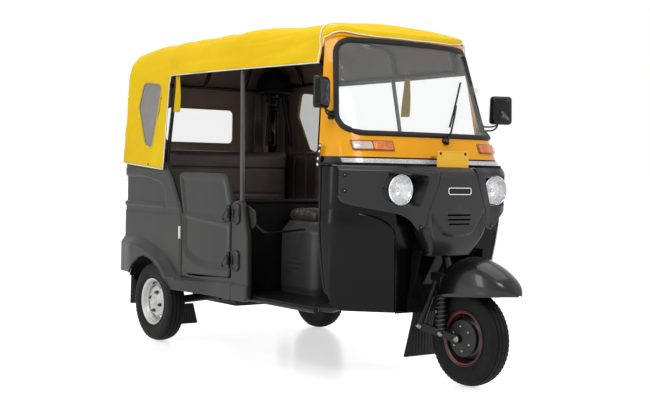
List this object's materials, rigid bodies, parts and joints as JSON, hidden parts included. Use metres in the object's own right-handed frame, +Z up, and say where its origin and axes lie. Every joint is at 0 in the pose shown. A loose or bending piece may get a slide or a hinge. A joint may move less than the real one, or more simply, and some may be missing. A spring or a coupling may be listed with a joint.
{
  "type": "auto rickshaw",
  "caption": "Motor rickshaw with a steered front wheel, curved windscreen cab, open sides with half doors, rear bench and a soft canopy.",
  "frame": {"origin": "on the ground, at the middle of the vehicle's overall length and width", "axes": "+Z up, front towards -Y, the vehicle's own right-hand side towards -X"},
  "size_m": [1.424, 2.9799, 1.8898],
  "materials": {
    "orange_paint": "gloss paint",
    "body_black": "gloss paint",
    "black_paint": "satin paint",
    "black_plastic": "moulded, slightly grained",
    "frame_paint": "satin paint",
    "white_plastic": "gloss",
    "canopy_cloth": "coated cloth",
    "window_film": "clear film",
    "windscreen": "clear",
    "seal_rubber": "matte",
    "tyre_rubber": "matte",
    "front_rim_paint": "gloss paint",
    "rear_rim_paint": "silver paint",
    "cast_metal": "rough",
    "vinyl_brown": "coated fabric",
    "lamp_glass": "fluted",
    "indicator_lens": "clear over amber",
    "red_lens": "lens",
    "plate_yellow": "gloss",
    "webbing": "webbing",
    "mirror_shell": "gloss"
  },
  "bodies": {
    "cab": {"air_intake": "black_plastic", "belt_strip": "white_plastic", "bench_back": "vinyl_brown", "bench_cushion": "vinyl_brown", "canopy": "canopy_cloth", "chassis_frame": "frame_paint", "cowl_top": "body_black", "dashboard": "black_plastic", "driver_cushion": "vinyl_brown", "driver_seat_box": "black_plastic", "engine_block": "cast_metal", "floor_pan": "black_paint", "front_mudflap": "seal_rubber", "headlamp_left": "lamp_glass", "headlamp_right": "lamp_glass", "indicator_left": "indicator_lens", "indicator_right": "indicator_lens", "lamp_fairing_left": "black_plastic", "lamp_fairing_right": "black_plastic", "leg_shield_left": "body_black", "leg_shield_right": "body_black", "mirror_left": "mirror_shell", "mirror_right": "mirror_shell", "nose_panel": "body_black", "number_plate": "plate_yellow", "partition": "black_paint", "quarter_panel_left": "body_black", "quarter_panel_right": "body_black", "rear_arm_left": "black_paint", "rear_arm_right": "black_paint", "rear_film": "window_film", "rear_mudflap_left": "seal_rubber", "rear_mudflap_right": "seal_rubber", "rear_panel": "body_black", "roof_frame": "frame_paint", "screen_frame": "orange_paint", "screen_seal": "seal_rubber", "side_film_left": "window_film", "side_film_right": "window_film", "side_pillar_left": "body_black", "side_pillar_right": "body_black", "strap_left": "webbing", "strap_right": "webbing", "tail_lamp_left": "red_lens", "tail_lamp_right": "red_lens", "windscreen_glass": "windscreen", "wiper": "black_plastic"},
    "front_wheel": {"front_wheel_tyre": "tyre_rubber", "front_wheel_rim": "front_rim_paint"},
    "rear_wheel_right": {"rear_wheel_right_tyre": "tyre_rubber", "rear_wheel_right_rim": "rear_rim_paint"},
    "rear_wheel_left": {"rear_wheel_left_tyre": "tyre_rubber", "rear_wheel_left_rim": "rear_rim_paint"},
    "steering": {"front_fork": "black_paint", "front_mudguard": "body_black", "handlebar": "black_plastic"},
    "door_right": {"door_right": "body_black"},
    "door_left": {"door_left": "body_black"}
  },
  "joints": [
    {"name": "steering_turn", "type": "hinge", "parent": "cab", "child": "steering", "pos_m": [0, -1, 0.48], "axis": [0, 0.342, 0.9397], "range_deg": [-35, 35]},
    {"name": "front_wheel_spin", "type": "hinge", "parent": "steering", "child": "front_wheel", "pos_m": [0, -1.1325, 0.243], "axis": [1, 0, 0], "continuous": true},
    {"name": "rear_right_spin", "type": "hinge", "parent": "cab", "child": "rear_wheel_right", "pos_m": [-0.615, 0.9925, 0.243], "axis": [1, 0, 0], "continuous": true},
    {"name": "rear_left_spin", "type": "hinge", "parent": "cab", "child": "rear_wheel_left", "pos_m": [0.615, 0.9925, 0.243], "axis": [1, 0, 0], "continuous": true},
    {"name": "door_right_hinge", "type": "hinge", "parent": "cab", "child": "door_right", "pos_m": [-0.654, 0.142, 0.65], "axis": [0, 0, 1], "range_deg": [0, 75]},
    {"name": "door_left_hinge", "type": "hinge", "parent": "cab", "child": "door_left", "pos_m": [0.654, 0.142, 0.65], "axis": [0, 0, 1], "range_deg": [-75, 0]}
  ]
}
